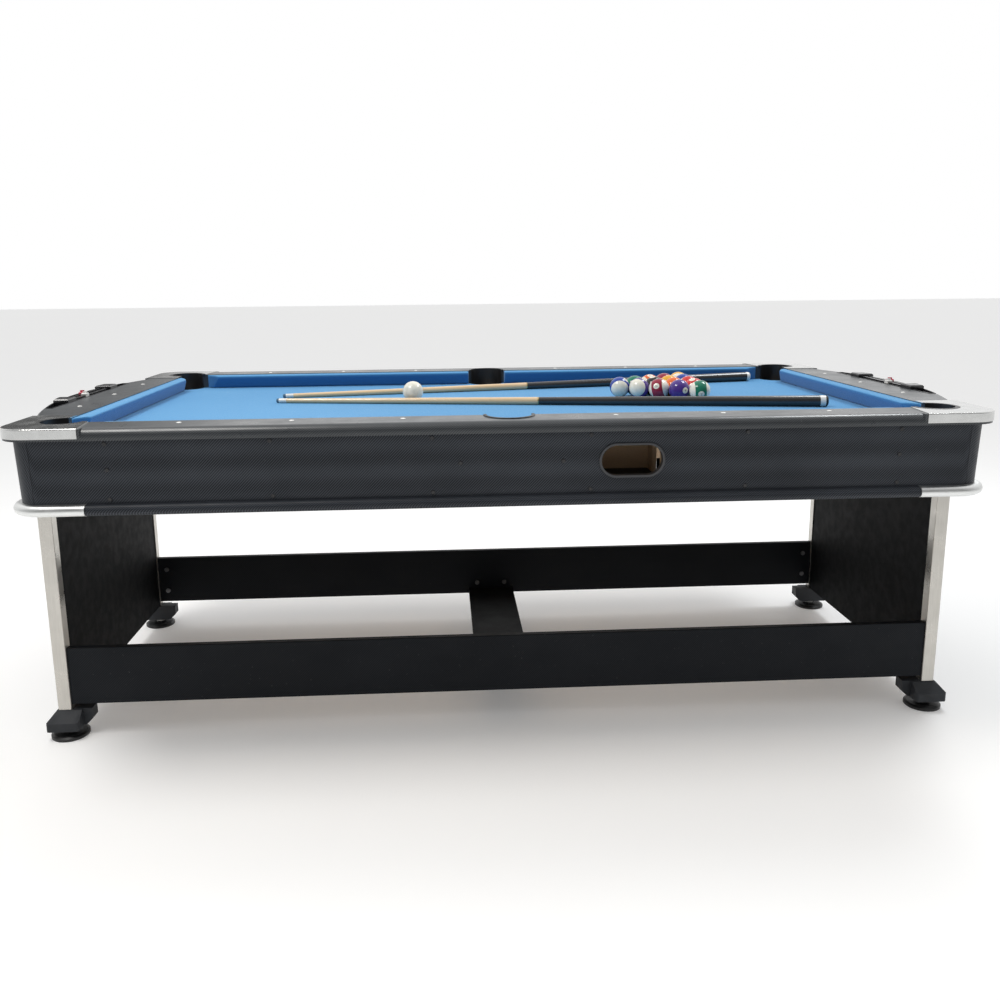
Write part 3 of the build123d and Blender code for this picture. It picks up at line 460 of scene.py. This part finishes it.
# ---- cushions -----------------------------------------------------------------
CUSHION_DEPTH = 0.027
CORNER_NOSE = 0.078
CORNER_FACING = 0.037
SIDE_NOSE_X = 0.06
SIDE_BACK_X = 0.058
CUSHION_FOOT = BED_TOP + CLOTH + 0.0015
CUSHION_TOP = RAIL_TOP - 0.0015
ROW_STEP = 0.012
TUCK = 0.0011
END_ROWS = (0.0, 0.0012, 0.0032, 0.0065)
TUCK_REACH = END_ROWS[-1]
RIPPLES = 5
RIPPLE_STEP = (0.05, 0.4)
RIPPLE_RISE = (0.00006, 0.00016)
RIPPLE_FADE = 0.01
PULL_DEPTH = 0.02
PULL_HEIGHT = BED_TOP + 0.02
LONG_SEED = 11
END_SEED = 31


def cushion_section():
    """(distance in front of the rail, height) round one cushion, from foot to foot."""
    foot_drop = CUSHION_FOOT - CUSHION_TOP
    crown = [(0.0, -0.0002), (0.0008, -0.0011), (0.0022, -0.0012), (0.0031, -0.0002)]
    crown += [(0.008, 0.0), (0.014, -0.0001), (0.019, -0.0004), (0.0225, -0.001)]
    nose = [(0.0246, -0.0019), (0.026, -0.0033), (0.0267, -0.0052), (0.0269, -0.0075), (0.0266, -0.0096)]
    under = [(0.0255, -0.0122), (0.0225, -0.019), (0.019, -0.0268), (0.0158, -0.034)]
    foot = [(0.0146, foot_drop + 0.0006), (0.0136, foot_drop), (0.0, foot_drop)]
    return [(depth, CUSHION_TOP + height) for depth, height in crown + nose + under + foot]


def make_cushion(name, node, place, start, stop, start_facing, stop_facing, seed):
    """Rubber cushion wrapped in cloth: pulled tight, with a faint ripple and tucked ends.

    place(along, out, height) gives a point; start and stop are the ends of the nose,
    and each end runs back by its facing to the rail."""
    rng = random.Random(seed)
    ripples = [
        (rng.uniform(*RIPPLE_STEP), rng.uniform(0, 6.3), rng.uniform(*RIPPLE_RISE)) for _ in range(RIPPLES)
    ]
    section = cushion_section()
    length = abs(stop - start)
    count = max(24, int(length / ROW_STEP))
    shares = [row / length for row in END_ROWS]
    shares += [i / count for i in range(1, count)]
    shares += [1 - row / length for row in END_ROWS[::-1]]
    points = []
    for share in shares:
        end_gap = min(share, 1 - share) * length
        tuck = TUCK * max(0.0, 1 - end_gap / TUCK_REACH) ** 2
        for depth, height in section:
            back = 1 - depth / CUSHION_DEPTH
            low = start + start_facing * back
            high = stop + stop_facing * back
            along = low + (high - low) * share
            wave = sum(rise * math.sin(along / step + phase) for step, phase, rise in ripples)
            swell = wave * min(1.0, depth / RIPPLE_FADE)
            pulled_in = tuck * (depth > PULL_DEPTH)
            pulled_down = tuck * (height > PULL_HEIGHT)
            points.append(place(along, depth + swell * 0.5 - pulled_in, height + swell * 0.4 - pulled_down))
    size = len(section)
    faces = []
    for row in range(len(shares) - 1):
        for i in range(size):
            j = (i + 1) % size
            faces.append((row * size + i, row * size + j, (row + 1) * size + j, (row + 1) * size + i))
    last = (len(shares) - 1) * size
    faces.append(tuple(range(size)))
    faces.append(tuple(last + i for i in range(size)))
    made = piece_from(name, points, faces, MATERIALS["cushion"], smooth=50.0)
    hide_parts(node)


for index, (quadrant, (side_x, side_y)) in enumerate(QUADRANTS.items()):

    def long_place(along, out, height, side_x=side_x, side_y=side_y):
        return (side_x * along, side_y * (RAIL_INNER[1] - out), height)

    make_cushion(
        f"cushion_cloth_{quadrant}", f"cushion_{quadrant}", long_place,
        SIDE_NOSE_X, NOSE[0] - CORNER_NOSE, SIDE_BACK_X - SIDE_NOSE_X, CORNER_FACING, LONG_SEED + index,
    )
for index, (end, side_x) in enumerate((("left", -1), ("right", 1))):

    def end_place(along, out, height, side_x=side_x):
        return (side_x * (RAIL_INNER[0] - out), along, height)

    make_cushion(
        f"cushion_cloth_{end}_end", f"cushion_{end}_end", end_place,
        CORNER_NOSE - NOSE[1], NOSE[1] - CORNER_NOSE, -CORNER_FACING, CORNER_FACING, END_SEED + index,
    )

# ---- sights -------------------------------------------------------------------
SIGHT_RADIUS = 0.0054
SIGHT_RISE = 0.0016
SIGHT_SPACING = 0.237
LONG_SIGHTS_X = (0.231, 0.468, 0.705)
LONG_SIGHTS_Y = 0.53
END_SIGHTS_X = 1.023
SIGHTS = [(side * x, y) for x in LONG_SIGHTS_X for side in (-1, 1) for y in (-LONG_SIGHTS_Y, LONG_SIGHTS_Y)]
SIGHTS += [(x, y) for x in (-END_SIGHTS_X, END_SIGHTS_X) for y in (-SIGHT_SPACING, 0.0, SIGHT_SPACING)]


def make_sight_domes():
    """Low domes on the inlaid sights, all in one piece."""
    sides, rows = 20, 5
    points, faces = [], []
    for cx, cy in SIGHTS:
        first = len(points)
        for row in range(rows + 1):
            lean = 0.5 * math.pi * row / (rows + 1)
            radius, rise = SIGHT_RADIUS * math.cos(lean), SIGHT_RISE * math.sin(lean)
            for i in range(sides):
                turn = 2 * math.pi * i / sides
                points.append((cx + radius * math.cos(turn), cy + radius * math.sin(turn), RAIL_TOP + rise))
        for row in range(rows):
            for i in range(sides):
                a, b = first + row * sides + i, first + row * sides + (i + 1) % sides
                faces.append((a, b, b + sides, a + sides))
        faces.append(tuple(first + i for i in range(sides)))
        faces.append(tuple(first + rows * sides + i for i in range(sides)))
    domes = piece_from("rail_sight_domes", points, faces, MATERIALS["sight"], smooth=50.0)


make_sight_domes()

# ---- mat in the return box ----------------------------------------------------
MAT_X = (0.1915, 0.3245)
MAT_Y = (-0.5585, -0.4355)
MAT_Z = (0.6465, 0.6535)
MAT_EDGE = 0.0012


def make_mat():
    """Thin rubber mat that the returned balls land on, with eased edges."""
    x0, x1 = MAT_X
    y0, y1 = MAT_Y
    low, high = MAT_Z
    rings = [(low, MAT_EDGE), (low + MAT_EDGE, 0.0), (high - MAT_EDGE, 0.0), (high, MAT_EDGE)]
    points = []
    for z, inset in rings:
        points += [(x0 + inset, y0 + inset, z), (x1 - inset, y0 + inset, z)]
        points += [(x1 - inset, y1 - inset, z), (x0 + inset, y1 - inset, z)]
    faces = [(0, 3, 2, 1), (12, 13, 14, 15)]
    for row in range(3):
        for i in range(4):
            j = (i + 1) % 4
            faces.append((row * 4 + i, row * 4 + j, row * 4 + 4 + j, row * 4 + 4 + i))
    mat = piece_from("return_mat", points, faces, MATERIALS["mat"], smooth=20.0)


make_mat()

# ---- balls --------------------------------------------------------------------
BALL = 0.028575
FIT_GAP = 0.0003
BALL_HEIGHT = BED_TOP + CLOTH + FIT_GAP + BALL
RACK_PITCH = 0.0575
RACK_APEX = (0.362, 0.09)
CUE_BALL = (-0.227, 0.063)
IVORY = (0.88, 0.84, 0.72)
COLOURS = {
    1: (0.83, 0.42, 0.02), 2: (0.02, 0.06, 0.36), 3: (0.66, 0.035, 0.03), 4: (0.075, 0.03, 0.25),
    5: (0.8, 0.15, 0.02), 6: (0.008, 0.19, 0.11), 7: (0.3, 0.012, 0.04), 8: (0.012, 0.012, 0.012),
}

STRIPE_HALF = 0.0152
STRIPE_BLUR = 0.0001
NUMBER_DISC = 0.0085
DISC_EDGE = math.sqrt(BALL**2 - NUMBER_DISC**2)
DISC_BLUR = 0.00003
DIGIT_LIFT = 0.00009
DIGIT_GRID = 0.0012
ONE_DIGIT = 0.0096
TWO_DIGITS = 0.0082


def ball_material(name, color, striped, turn=None):
    """Cast resin: a band across the middle or a solid colour, and two white discs.

    turn's columns are the directions of a disc, across, and of the stripe's pole."""
    s = Shader(name, Specular_IOR_Level=0.4, Coat_Weight=0.2, Coat_Roughness=0.04)
    cloud = s.noise(70.0, 3.0, 0.6)
    deep = tuple(c * 0.8 for c in color)
    paint = s.mix(s.band(cloud, 0.3, 0.7), color, deep)
    bone = s.mix(s.band(s.noise(90.0, 4.0, 0.6), 0.35, 0.7), IVORY, tuple(c * 0.9 for c in IVORY))
    if striped:
        height = s.math("ABSOLUTE", s.along(turn.col[2]))
        band_edge = s.band(height, STRIPE_HALF - STRIPE_BLUR, STRIPE_HALF + STRIPE_BLUR, smooth=False)
        paint = s.mix(band_edge, paint, bone)
    if turn:
        toward = s.math("ABSOLUTE", s.along(turn.col[0]))
        paint = s.mix(s.band(toward, DISC_EDGE - DISC_BLUR, DISC_EDGE + DISC_BLUR, smooth=False), paint, bone)
    dull = s.band(s.noise(120.0, 6.0, 0.8), 0.62, 0.8)
    s.set("Base Color", paint)
    s.set("Roughness", s.band(dull, 0.0, 1.0, 0.07, 0.3))
    s.set("Normal", s.bump(s.noise(500.0, 2.0), 0.01, 0.0001))
    return s.material


def ball_mesh(name):
    """A fine sphere of triangles that are even all over."""
    work = bmesh.new()
    bmesh.ops.create_icosphere(work, subdivisions=5, radius=BALL)
    for face in work.faces:
        face.smooth = True
    mesh = bpy.data.meshes.new(name)
    work.to_mesh(mesh)
    work.free()
    return mesh


def digit_mesh(name, text, height, side, turn):
    """A number that lies just over the ball's surface, on one of its discs."""
    curve = bpy.data.curves.new(name, "FONT")
    curve.body = text
    curve.size = height
    curve.align_x = "CENTER"
    curve.align_y = "CENTER"
    helper = bpy.data.objects.new(name, curve)
    scene.collection.objects.link(helper)
    flat = bpy.data.meshes.new_from_object(helper.evaluated_get(bpy.context.evaluated_depsgraph_get()))
    bpy.data.objects.remove(helper)
    work = bmesh.new()
    work.from_mesh(flat)
    bmesh.ops.triangulate(work, faces=work.faces)
    for _ in range(2):
        long_edges = [e for e in work.edges if e.calc_length() > DIGIT_GRID]
        bmesh.ops.subdivide_edges(work, edges=long_edges, cuts=1)
        bmesh.ops.triangulate(work, faces=work.faces)
    shell = BALL + DIGIT_LIFT
    for vertex in work.verts:
        across, up = vertex.co.x, vertex.co.y
        depth = math.sqrt(max(0.0, shell * shell - across * across - up * up))
        vertex.co = turn @ Vector((side * depth, side * across, up))
    mesh = bpy.data.meshes.new(name)
    work.to_mesh(mesh)
    work.free()
    return mesh


def turned(pole, face):
    """Rotation that lays the local Z axis on pole and the local X axis near face."""
    z = Vector(pole).normalized()
    x = (Vector(face) - z * Vector(face).dot(z)).normalized()
    return Matrix((x, z.cross(x), z)).transposed()


INK = plastic("number_ink", (0.01, 0.01, 0.01), 0.15, 0.25)


def make_ball(name, number, centre, turn, body):
    striped = number > 8
    color = COLOURS[number - 8 if striped else number]
    ball = bpy.data.objects.new(name, ball_mesh(name))
    scene.collection.objects.link(ball)
    ball.data.materials.append(ball_material(name, color, striped, turn))
    ball.location = centre
    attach(ball, body)
    height = ONE_DIGIT if number < 10 else TWO_DIGITS
    for side, label in ((1, "a"), (-1, "b")):
        title = f"{name}_number_{label}"
        digits = bpy.data.objects.new(title, digit_mesh(title, str(number), height, side, turn))
        scene.collection.objects.link(digits)
        digits.data.materials.append(INK)
        digits.location = centre
        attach(digits, body)
    return ball


# number, direction of the stripe's pole, direction of a number disc; rows from the apex,
# each from its near end to its far end
RACK = [
    [(10, (-0.18, -0.95, -0.22), (0.6, -0.1, 0.8))],
    [(12, (-0.55, -0.8, 0.14), (0.4, -0.3, 0.9)), (6, (0.2, 0.3, 0.9), (-0.3, -0.7, 0.6))],
    [
        (15, (0.86, -0.42, 0.2), (-0.5, -0.75, 0.35)),
        (8, (0.3, 0.9, 0.1), (-0.35, -0.5, 0.8)),
        (13, (-0.8, -0.2, -0.1), (0.1, -0.3, 0.95)),
    ],
    [
        (4, (0.2, 0.1, 0.97), (0.42, -0.76, 0.48)),
        (5, (0.5, 0.5, 0.3), (-0.4, 0.6, 0.7)),
        (1, (0.9, 0.1, 0.3), (0.2, 0.9, 0.3)),
        (7, (0.2, 0.8, 0.5), (0.9, -0.2, 0.4)),
    ],
    [
        (14, (0.985, -0.12, 0.05), (0.05, -0.96, -0.22)),
        (11, (0.1, 0.95, 0.3), (-0.3, -0.3, 0.9)),
        (3, (0.6, 0.3, 0.7), (0.7, -0.2, -0.6)),
        (2, (0.2, 0.9, 0.1), (0.9, 0.1, -0.4)),
        (9, (0.3, 0.95, -0.1), (0.8, 0.1, 0.6)),
    ],
]
for row, balls in enumerate(RACK):
    for place, (number, pole, face) in enumerate(balls):
        centre = (
            RACK_APEX[0] + row * RACK_PITCH * math.cos(math.radians(30)),
            RACK_APEX[1] + (place - row / 2) * RACK_PITCH,
            BALL_HEIGHT,
        )
        make_ball(f"ball_{number}", number, centre, turned(pole, face), "rack_of_balls")
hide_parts("racked_balls")

cue_ball = bpy.data.objects.new("ball_cue", ball_mesh("ball_cue"))
scene.collection.objects.link(cue_ball)
cue_ball.data.materials.append(ball_material("ball_cue", IVORY, False))
cue_ball.location = (*CUE_BALL, BALL_HEIGHT)
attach(cue_ball, "cue_ball")
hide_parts("cue_ball")

# ---- cues ---------------------------------------------------------------------
CUE_LENGTH = 1.49
TIP_RADIUS = 0.0062
BUTT_RADIUS = 0.0145
JOINT = 0.7335
SLEEVE_START = 1.03
EASE = 0.0004
RISE = math.atan2(BUTT_RADIUS - TIP_RADIUS, CUE_LENGTH)
CUE_HEIGHT = BED_TOP + CLOTH + FIT_GAP + TIP_RADIUS / math.cos(RISE) + 0.00005
TIP_LENGTH = 0.008
FERRULE_END = 0.03
RING_END = JOINT + 0.003
BUMPER = 0.007
END_RING = 0.014
END_CAP = 0.013


def cue_radius(station):
    return TIP_RADIUS + (BUTT_RADIUS - TIP_RADIUS) * station / CUE_LENGTH


SIDES = 40


def lathe(name, stations, material, matrix, body):
    """Turned piece along the local Z axis from (station, radius) pairs, closed at both ends."""
    points, faces = [], []
    for station, radius in stations:
        for i in range(SIDES):
            turn = 2 * math.pi * i / SIDES
            points.append((radius * math.cos(turn), radius * math.sin(turn), station))
    for row in range(len(stations) - 1):
        for i in range(SIDES):
            j = (i + 1) % SIDES
            faces.append((row * SIDES + i, row * SIDES + j, (row + 1) * SIDES + j, (row + 1) * SIDES + i))
    faces.append(tuple(range(SIDES)))
    faces.append(tuple((len(stations) - 1) * SIDES + i for i in range(SIDES)))
    made = piece_from(name, points, faces, material, body)
    made.matrix_world = matrix
    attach(made, body)
    return made


def span(start, stop, count=10):
    """Stations along the cue's taper, with both edges eased."""
    pairs = [(start, cue_radius(start) - EASE)]
    for i in range(count + 1):
        station = start + EASE + (stop - start - 2 * EASE) * i / count
        pairs.append((station, cue_radius(station)))
    return pairs + [(stop, cue_radius(stop) - EASE)]


def shifted(pairs, start):
    return [(start + station, radius) for station, radius in pairs]


def make_cue(label, body, node, tip, heading, end_white):
    turn = Matrix.Rotation(math.radians(heading), 4, "Z") @ Matrix.Rotation(math.pi / 2 - RISE, 4, "Y")
    matrix = Matrix.Translation((tip[0], tip[1], CUE_HEIGHT)) @ turn
    dome = [(0.0, TIP_RADIUS * 0.35), (0.0008, TIP_RADIUS * 0.68), (0.002, TIP_RADIUS * 0.88)]
    dome += [(0.0036, TIP_RADIUS)]
    leather = dome + [(TIP_LENGTH, cue_radius(TIP_LENGTH) - 0.0001)]
    butt_start = CUE_LENGTH - (END_CAP if end_white else BUMPER + END_RING)

    def turned_piece(part, stations, material):
        return lathe(f"{label}_{part}", stations, MATERIALS[material], matrix, body)

    turned_piece("tip", leather, "tip")
    turned_piece("ferrule", span(TIP_LENGTH, FERRULE_END), "ivory")
    shaft = turned_piece("shaft", span(FERRULE_END, JOINT, count=40), "maple")
    turned_piece("joint_ring", span(JOINT, RING_END), "brass")
    turned_piece("forearm", span(RING_END, SLEEVE_START, count=24), "butt")
    turned_piece("sleeve", span(SLEEVE_START, butt_start, count=24), "butt")
    if end_white:
        cap = [(0.0, 0.0139), (0.001, 0.0143), (0.007, 0.01445), (0.0105, 0.0137), (0.0125, 0.0115)]
        turned_piece("end_cap", shifted(cap + [(END_CAP, 0.009)], butt_start), "ivory")
    else:
        bumper_start = CUE_LENGTH - BUMPER
        bumper = [(0.0, 0.0139), (0.0006, 0.0143), (0.004, 0.014), (0.006, 0.0122), (BUMPER, 0.009)]
        turned_piece("end_ring", span(butt_start, bumper_start), "ivory")
        turned_piece("bumper", shifted(bumper, bumper_start), "rubber")
    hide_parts(node)


make_cue("near_cue", "near_cue", "cue_near", tip=(-0.61, 0.085), heading=-10.0, end_white=False)
make_cue("far_cue", "far_cue", "cue_far", tip=(-0.609, 0.186), heading=9.9, end_white=True)

# ---- floor, light -------------------------------------------------------------
FLOOR_HALF = 40.0
FLOOR_GLOW = 0.16

floor_mesh = bpy.data.meshes.new("studio_floor")
corners = [(x * FLOOR_HALF, y * FLOOR_HALF, 0) for x, y in ((-1, -1), (1, -1), (1, 1), (-1, 1))]
floor_mesh.from_pydata(corners, [], [(0, 1, 2, 3)])
floor = bpy.data.objects.new("studio_floor", floor_mesh)
scene.collection.objects.link(floor)
paper = Shader("studio_paper", Roughness=0.9, Specular_IOR_Level=0.1, Emission_Strength=FLOOR_GLOW)
paper.surface.inputs["Emission Color"].default_value = (1.0, 1.0, 1.0, 1.0)
paper.set("Base Color", paper.mix(paper.noise(3.0, 3.0), (0.9, 0.9, 0.895), (0.88, 0.88, 0.88)))
floor_mesh.materials.append(paper.material)


def area_light(name, place, target, size, power, color):
    data = bpy.data.lights.new(name, "AREA")
    data.shape = "RECTANGLE"
    data.size, data.size_y = size
    data.energy = power
    data.color = color
    light = bpy.data.objects.new(name, data)
    light.location = place
    light.rotation_euler = (Vector(target) - Vector(place)).to_track_quat("-Z", "Y").to_euler()
    scene.collection.objects.link(light)


area_light(
    "key", place=(-1.6, -0.8, 3.4), target=(0.0, 0.0, 0.7),
    size=(1.4, 1.0), power=55.0, color=(1.0, 0.98, 0.95),
)
area_light(
    "fill", place=(1.9, 0.9, 3.2), target=(0.1, 0.1, 0.7),
    size=(1.0, 0.8), power=35.0, color=(0.95, 0.98, 1.0),
)


def make_world():
    """Bright behind and over the table, dimmer behind the camera, and plain white to the camera.

    A small dark patch lies where the left corner cap reflects."""
    world = bpy.data.worlds.new("studio")
    world.use_nodes = True
    scene.world = world
    tree = world.node_tree
    tree.nodes.clear()
    coords = tree.nodes.new("ShaderNodeTexCoord")

    def toward(direction, low, high, dim, bright):
        """Strength that goes from dim to bright as a ray nears the direction."""
        product = tree.nodes.new("ShaderNodeVectorMath")
        product.operation = "DOT_PRODUCT"
        tree.links.new(coords.outputs["Generated"], product.inputs[0])
        product.inputs[1].default_value = Vector(direction).normalized()
        share = tree.nodes.new("ShaderNodeMapRange")
        share.interpolation_type = "SMOOTHSTEP"
        for name, value in (("From Min", low), ("From Max", high), ("To Min", dim), ("To Max", bright)):
            share.inputs[name].default_value = value
        tree.links.new(product.outputs["Value"], share.inputs["Value"])
        return share.outputs["Result"]

    def times(a, b):
        product = tree.nodes.new("ShaderNodeMath")
        product.operation = "MULTIPLY"
        tree.links.new(a, product.inputs[0])
        tree.links.new(b, product.inputs[1])
        return product.outputs[0]

    front = toward((0.0, 1.0, 0.45), low=-0.55, high=0.45, dim=0.3, bright=1.15)
    dark_corner = toward((-0.42, 0.9, 0.14), low=0.975, high=0.995, dim=1.0, bright=0.12)
    light = tree.nodes.new("ShaderNodeBackground")
    tree.links.new(times(front, dark_corner), light.inputs["Strength"])
    plain = tree.nodes.new("ShaderNodeBackground")
    plain.inputs["Color"].default_value = (1.0, 1.0, 1.0, 1.0)
    plain.inputs["Strength"].default_value = 1.0
    path = tree.nodes.new("ShaderNodeLightPath")
    mixed = tree.nodes.new("ShaderNodeMixShader")
    tree.links.new(path.outputs["Is Camera Ray"], mixed.inputs["Fac"])
    tree.links.new(light.outputs[0], mixed.inputs[1])
    tree.links.new(plain.outputs[0], mixed.inputs[2])
    out = tree.nodes.new("ShaderNodeOutputWorld")
    tree.links.new(mixed.outputs[0], out.inputs["Surface"])


make_world()
